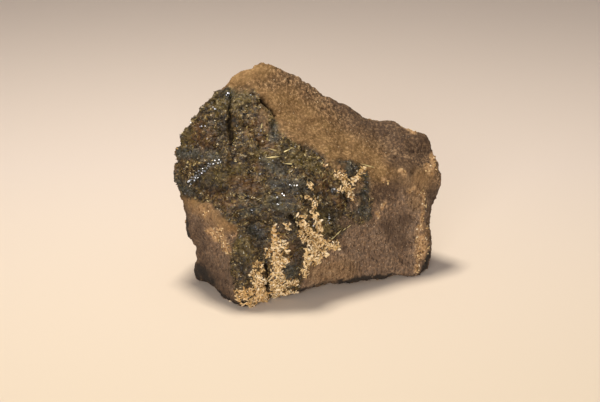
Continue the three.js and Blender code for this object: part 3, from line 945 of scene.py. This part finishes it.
# Each ramp's stops, dark to light except where grains of unlike colour lie side by side
tones = {
    "mosaic": [
        (0.0, "#120f08"), (0.18, "#2d2313"), (0.34, "#57451f"), (0.46, "#332c1f"), (0.6, "#72603e"),
        (0.72, "#4d3319"), (0.84, "#8d7a4c"), (0.94, "#b7a471"), (1.0, "#e2d6ad"),
    ],
    "crystal": [
        (0.0, "#0d0a05"), (0.2, "#241c0f"), (0.34, "#665229"), (0.46, "#332c1e"), (0.6, "#83703f"),
        (0.72, "#5b3b19"), (0.84, "#a08d57"), (0.94, "#d2c393"), (1.0, "#faf4e0"),
    ],
    "mottle": [(0.38, "#655a46"), (0.5, "#d6ccb9"), (0.6, "#ffffff")],
    "speckle": [(0.38, "#291d12"), (0.46, "#5c4630"), (0.54, "#80664a"), (0.62, "#bb9b75")],
    "cloudy": [(0.35, "#d5cbc1"), (0.65, "#ffffff")],
    "streaks": [(0.36, "#a99d8f"), (0.48, "#f6f1ea"), (0.6, "#ffffff")],
    "crustBed": [(0.02, "#1f160c"), (0.16, "#574126"), (0.36, "#9d7f50")],
    "rim": [(0.3, "#7d5d3c"), (0.5, "#b08c62"), (0.7, "#d3b48a")],
    "leaf": [
        (0.0, "#664c2b"), (0.14, "#a98855"), (0.36, "#dcc390"), (0.7, "#f3e2bd"), (1.0, "#fff8e6"),
    ],
    "blade": [(0.0, "#54461f"), (0.5, "#857337"), (0.85, "#b5a25f"), (1.0, "#e4d9ac")],
    "face": [(0.0, "#5c6068"), (0.6, "#8f939c"), (1.0, "#c4c6cf")],
    "grit": [
        (0.0, "#1f160e"), (0.3, "#4a3726"), (0.6, "#7d6145"), (0.86, "#b4946c"), (1.0, "#efe0c2"),
    ],
}

# Every scale is the number of a pattern's cells in a metre, and 1 where its place is scaled already
noises = {
    "shift": {"Scale": 600.0, "Detail": 1.0},
    "mottle": {"Scale": 1.0, "Detail": 3.0},
    "fine": {"Scale": 1000.0, "Detail": 4.0, "Roughness": 0.7},
    "broad": {"Scale": 220.0, "Detail": 3.0},
    "streaks": {"Scale": 1.0, "Detail": 2.0},
    "grain": {"Scale": 1500.0, "Detail": 3.0, "Roughness": 0.7},
    "stain": {"Scale": 1300.0, "Detail": 3.0},
    "crystalFilm": {"Scale": 1600.0, "Detail": 2.0},
    "thread": {"Scale": 2500.0, "Detail": 2.0},
    "faceFilm": {"Scale": 1800.0, "Detail": 2.0},
    "dust": {"Scale": 1800.0, "Detail": 2.0},
}
crystalScale = 1250.0
plateScale = 800.0

# Streaks of darker ore 1 mm wide and 3 mm long lean across the fresh break, and upright ones 0.7 mm
# wide run down the plum face
fibreTurn = (0.0, math.radians(35), 0.0)
fibreScale = (330.0, 900.0, 900.0)
uprightScale = (1500.0, 1500.0, 450.0)


def readZones(m, names):
    return {
        name: addNode(m, "Attribute", {"attribute_name": name}, {}).outputs["Fac"] for name in names
    }


def addNoise(m, name, place):
    return addNode(m, "TexNoise", {}, {"Vector": place, **noises[name]}).outputs


def toneOf(m, name, value):
    return addNode(m, "ValToRGB", {"stops": tones[name]}, {"Fac": value}).outputs["Color"]


def tint(m, colour, weights, tints):
    # lays each tint over the colour, as strongly as its zone's weight times its own share
    for name, share, code in tints:
        much = addNode(m, "Math", {"operation": "MULTIPLY"}, {0: weights[name], 1: share}).outputs["Value"]
        colour = addNode(m, "Mix", blend, {0: much, 6: colour, 7: hexColour(code)}).outputs[2]
    return colour


def streaked(m, colour, place):
    # darkens the fresh ore's colour in leaning streaks
    fibres = addNode(
        m, "Mapping", {}, {"Vector": place, "Rotation": fibreTurn, "Scale": fibreScale}
    ).outputs["Vector"]
    shadow = toneOf(m, "mottle", addNoise(m, "mottle", fibres)["Fac"])
    return addNode(m, "Mix", multiply, {0: 0.9, 6: colour, 7: shadow}).outputs[2]


def stoneMaterial():
    # Weathered granular magnetite. The fresh break is a mosaic of dark 0.8 mm crystals in patches of
    # olive, rust and steel; the limonite skin is dull, brown and finely speckled; the crust is cream
    m = newMaterial("granularMagnetite")
    place = addNode(m, "TexCoord", {}, {}).outputs["Object"]
    zone = readZones(m, ("fresh", "crust", "rim", "under", "cut") + patchNames + skinNames)

    shift = addNoise(m, "shift", place)["Color"]
    moved = addNode(
        m, "VectorMath", {"operation": "MULTIPLY_ADD"}, {0: shift, 1: (1.2 * mm,) * 3, 2: place}
    )
    cells = addNode(m, "TexVoronoi", {}, {"Vector": moved.outputs[0], "Scale": crystalScale})
    mosaic = toneOf(m, "mosaic", cells.outputs["Color"])
    freshColour = streaked(m, tint(m, mosaic, zone, patchTints), place)

    fine = addNoise(m, "fine", place)["Fac"]
    broad = addNoise(m, "broad", place)["Fac"]
    speckle = toneOf(m, "speckle", fine)
    cloudy = toneOf(m, "cloudy", broad)
    skin = addNode(m, "Mix", multiply, {0: 0.8, 6: tint(m, speckle, zone, skinTints), 7: cloudy}).outputs[2]
    upright = addNode(m, "Mapping", {}, {"Vector": place, "Scale": uprightScale}).outputs["Vector"]
    streakTone = toneOf(m, "streaks", addNoise(m, "streaks", upright)["Fac"])
    skin = addNode(m, "Mix", multiply, {0: zone["plum"], 6: skin, 7: streakTone}).outputs[2]

    plates = addNode(
        m, "TexVoronoi", {"feature": "DISTANCE_TO_EDGE"}, {"Vector": place, "Scale": plateScale}
    )
    crustColour = toneOf(m, "crustBed", plates.outputs["Distance"])
    rimColour = toneOf(m, "rim", fine)
    patchy = addNode(m, "MapRange", {}, {"Value": broad, "From Min": 0.32, "From Max": 0.5}).outputs["Result"]
    rimShare = addNode(m, "Math", {"operation": "MULTIPLY"}, {0: zone["rim"], 1: patchy}).outputs["Value"]

    colour = addNode(m, "Mix", blend, {0: zone["fresh"], 6: skin, 7: freshColour}).outputs[2]
    colour = addNode(m, "Mix", blend, {0: rimShare, 6: colour, 7: rimColour}).outputs[2]
    colour = addNode(m, "Mix", blend, {0: zone["crust"], 6: colour, 7: crustColour}).outputs[2]
    # painted shade: the undercut lower edge is darkened to near black
    undercutShadeShare = addNode(m, "Math", {"operation": "MULTIPLY"}, {0: zone["under"], 1: 0.95}).outputs["Value"]
    colour = addNode(m, "Mix", blend, {0: undercutShadeShare, 6: colour, 7: hexColour("#17110b")}).outputs[2]
    # painted shade: the fissure and narrow gaps are coloured near-black as the shade inside them
    colour = addNode(m, "Mix", blend, {0: zone["cut"], 6: colour, 7: hexColour("#15100a")}).outputs[2]

    ore = addNode(m, "Math", {"operation": "SUBTRACT"}, {0: zone["fresh"], 1: zone["cut"]}).outputs["Value"]
    dull = addNode(m, "MapRange", {}, {"Value": ore, "To Min": 0.8, "To Max": 0.5}).outputs["Result"]
    shine = addNode(
        m, "MapRange", {}, {"Value": zone["cut"], "To Min": 0.5, "To Max": 0.05}
    ).outputs["Result"]
    grain = addNoise(m, "grain", place)["Fac"]
    bump = addNode(m, "Bump", {}, {"Strength": 0.6, "Distance": 0.4 * mm, "Height": grain})
    facets = addNode(
        m,
        "Bump",
        {},
        {
            "Strength": 0.4,
            "Distance": 0.5 * mm,
            "Height": cells.outputs["Distance"],
            "Normal": bump.outputs["Normal"],
        },
    )
    shader = addNode(m, "BsdfPrincipled", {}, {
        "Base Color": colour,
        "Roughness": dull,
        "Specular IOR Level": shine,
        "Normal": facets.outputs["Normal"],
    })
    addNode(m, "OutputMaterial", {}, {"Surface": shader.outputs[0]})
    return m


def grainMaterial():
    # Fresh magnetite crystals: black to olive-brown, with a half-metallic lustre under a thin stain
    m = newMaterial("magnetiteCrystal")
    weights = readZones(m, ("shade",) + patchNames)
    place = addNode(m, "TexCoord", {}, {}).outputs["Object"]
    colour = toneOf(m, "crystal", weights["shade"])
    colour = streaked(m, tint(m, colour, weights, patchTints), place)
    film = addNoise(m, "crystalFilm", place)["Fac"]
    smooth = addNode(m, "MapRange", {}, {"Value": film, "To Min": 0.25, "To Max": 0.6}).outputs["Result"]
    shader = addNode(m, "BsdfPrincipled", {}, {"Base Color": colour, "Metallic": 0.2, "Roughness": smooth})
    addNode(m, "OutputMaterial", {}, {"Surface": shader.outputs[0]})
    return m


def crustMaterial():
    # Dried limonite and clay crust: dull cream to tan leaves, stained in patches
    m = newMaterial("creamCrust")
    weights = readZones(m, ("shade", "ochre"))
    place = addNode(m, "TexCoord", {}, {}).outputs["Object"]
    tone = toneOf(m, "leaf", weights["shade"])
    tone = tint(m, tone, weights, crustTints)
    stain = addNoise(m, "stain", place)["Fac"]
    colour = addNode(m, "Mix", multiply, {0: stain, 6: tone, 7: hexColour("#e2cda6")}).outputs[2]
    bump = addNode(m, "Bump", {}, {"Strength": 0.4, "Distance": 0.2 * mm, "Height": stain})
    shader = addNode(
        m, "BsdfPrincipled", {}, {"Base Color": colour, "Roughness": 0.65, "Normal": bump.outputs["Normal"]}
    )
    addNode(m, "OutputMaterial", {}, {"Surface": shader.outputs[0]})
    return m


def bladeMaterial():
    # Slender olive-gold amphibole blades on the fresh break, with a silky shine
    m = newMaterial("silkyAmphibole")
    shade = readZones(m, ("shade",))["shade"]
    place = addNode(m, "TexCoord", {}, {}).outputs["Object"]
    colour = toneOf(m, "blade", shade)
    thread = addNoise(m, "thread", place)["Fac"]
    smooth = addNode(m, "MapRange", {}, {"Value": thread, "To Min": 0.25, "To Max": 0.5}).outputs["Result"]
    shader = addNode(m, "BsdfPrincipled", {}, {"Base Color": colour, "Roughness": smooth, "Metallic": 0.25})
    addNode(m, "OutputMaterial", {}, {"Surface": shader.outputs[0]})
    return m


def faceMaterial():
    # Clean crystal faces of magnetite: steel grey, bright where they catch the light
    m = newMaterial("steelGreyFace")
    shade = readZones(m, ("shade",))["shade"]
    place = addNode(m, "TexCoord", {}, {}).outputs["Object"]
    colour = toneOf(m, "face", shade)
    film = addNoise(m, "faceFilm", place)["Fac"]
    smooth = addNode(m, "MapRange", {}, {"Value": film, "To Min": 0.26, "To Max": 0.5}).outputs["Result"]
    shader = addNode(m, "BsdfPrincipled", {}, {"Base Color": colour, "Metallic": 0.9, "Roughness": smooth})
    addNode(m, "OutputMaterial", {}, {"Surface": shader.outputs[0]})
    return m


def gritMaterial():
    # Grit of the brown limonite skin: dull grains, dark to tan, toned as the skin round them is, its painted
    # shade included
    m = newMaterial("limoniteGrit")
    weights = readZones(m, ("shade",) + skinNames)
    place = addNode(m, "TexCoord", {}, {}).outputs["Object"]
    colour = toneOf(m, "grit", weights["shade"])
    colour = tint(m, colour, weights, skinTints)
    dust = addNoise(m, "dust", place)["Fac"]
    dull = addNode(m, "MapRange", {}, {"Value": dust, "To Min": 0.5, "To Max": 0.85}).outputs["Result"]
    shader = addNode(m, "BsdfPrincipled", {}, {"Base Color": colour, "Roughness": dull})
    addNode(m, "OutputMaterial", {}, {"Surface": shader.outputs[0]})
    return m


def setMaterial(piece, material):
    piece.data.materials.clear()
    piece.data.materials.append(material)


crust = crustMaterial()
dressed = {
    stone: stoneMaterial(),
    magnetiteGrains: grainMaterial(),
    crustLeaves: crust,
    crustCrumbs: crust,
    goldenBlades: bladeMaterial(),
    magnetiteFaces: faceMaterial(),
    skinGrit: gritMaterial(),
}
for piece, material in dressed.items():
    setMaterial(piece, material)
    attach(piece, "root")
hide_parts("magnetite_rock")
print("materials set")

# A pale paper sweep, soft lamps, and the camera
sweepShape = {"width": 3.0, "front": -1.6, "back": 0.55, "bend": 0.35, "rise": 1.3}  # metres
# the paper's pale tone, with painted light: warmer near the viewer, pinker further back
paperToneAndLight = {"near": "#e1d5c3", "far": "#e0d6cf", "from": -0.12, "to": 0.12}


def makeSweep():
    deselectAll()
    middle = (sweepShape["front"] + sweepShape["back"]) / 2
    bpy.ops.mesh.primitive_plane_add(size=1, location=(0, middle, 0))
    sweep = bpy.context.object
    sweep.name = "paleSweep"
    sweep.scale = (sweepShape["width"], sweepShape["back"] - sweepShape["front"], 1)
    bpy.ops.object.transform_apply(location=True, scale=True)
    # the back edge alone is bent up and raised
    for edge in sweep.data.edges:
        edge.select = all(sweep.data.vertices[i].co.y > middle for i in edge.vertices)
    for vertex in sweep.data.vertices:
        vertex.select = vertex.co.y > middle
    for face in sweep.data.polygons:
        face.select = False
    bpy.ops.object.mode_set(mode="EDIT")
    bpy.ops.mesh.select_mode(type="EDGE")
    bpy.ops.mesh.spin(
        steps=12, angle=-math.radians(90), center=(0, sweepShape["back"], sweepShape["bend"]), axis=(1, 0, 0)
    )
    bpy.ops.mesh.extrude_region_move(TRANSFORM_OT_translate={"value": (0, 0, sweepShape["rise"])})
    bpy.ops.object.mode_set(mode="OBJECT")
    makeActive(sweep)
    bpy.ops.object.shade_smooth()
    return sweep


def paperMaterial():
    # Matt photo paper: pale, with painted light that is warmer near the viewer and pinker further back
    m = newMaterial("mattPaper")
    place = addNode(m, "TexCoord", {}, {}).outputs["Object"]
    depth = addNode(m, "SeparateXYZ", {}, {"Vector": place}).outputs["Y"]
    share = addNode(
        m, "MapRange", {}, {"Value": depth, "From Min": paperToneAndLight["from"], "From Max": paperToneAndLight["to"]}
    ).outputs["Result"]
    colour = addNode(
        m, "Mix", blend, {0: share, 6: hexColour(paperToneAndLight["near"]), 7: hexColour(paperToneAndLight["far"])}
    ).outputs[2]
    shader = addNode(m, "BsdfPrincipled", {}, {"Base Color": colour, "Roughness": 0.9})
    addNode(m, "OutputMaterial", {}, {"Surface": shader.outputs[0]})
    return m


sweep = makeSweep()
setMaterial(sweep, paperMaterial())

lamps = {
    "key": {"place": keyLamp, "aim": (0, 0, 0.03), "size": 0.12, "watts": 2.8, "colour": "#fff3e0"},
    "front": {
        "place": frontLamp, "aim": (0, 0, 0.04), "size": 0.5, "watts": 7.2, "colour": "#fff6ee",
    },
}
room = {"colour": "#e9e2e2", "strength": 0.24}


def addLamp(name, place, aim, size, watts, colour):
    deselectAll()
    bpy.ops.object.light_add(type="AREA", location=place)
    lamp = bpy.context.object
    lamp.name = name
    lamp.data.energy = watts
    lamp.data.size = size
    lamp.data.color = hexColour(colour)[:3]
    lamp.rotation_euler = (Vector(aim) - Vector(place)).to_track_quat("-Z", "Y").to_euler()


for name, lamp in lamps.items():
    addLamp(name, **lamp)

world = bpy.data.worlds.new("softRoom")
bpy.context.scene.world = world
world.use_nodes = True
world.node_tree.nodes["Background"].inputs["Color"].default_value = hexColour(room["colour"])
world.node_tree.nodes["Background"].inputs["Strength"].default_value = room["strength"]
bpy.context.scene.view_settings.view_transform = "Standard"

deselectAll()
bpy.ops.object.camera_add(
    location=Vector(sight["eye"]) * mm, rotation=(math.radians(90 - sight["down"]), 0, 0)
)
camera = bpy.context.object
camera.data.lens = sight["lens"]
camera.data.sensor_width = sight["sensor"]
camera.data.clip_start = 0.01
bpy.context.scene.camera = camera
print("stage set")
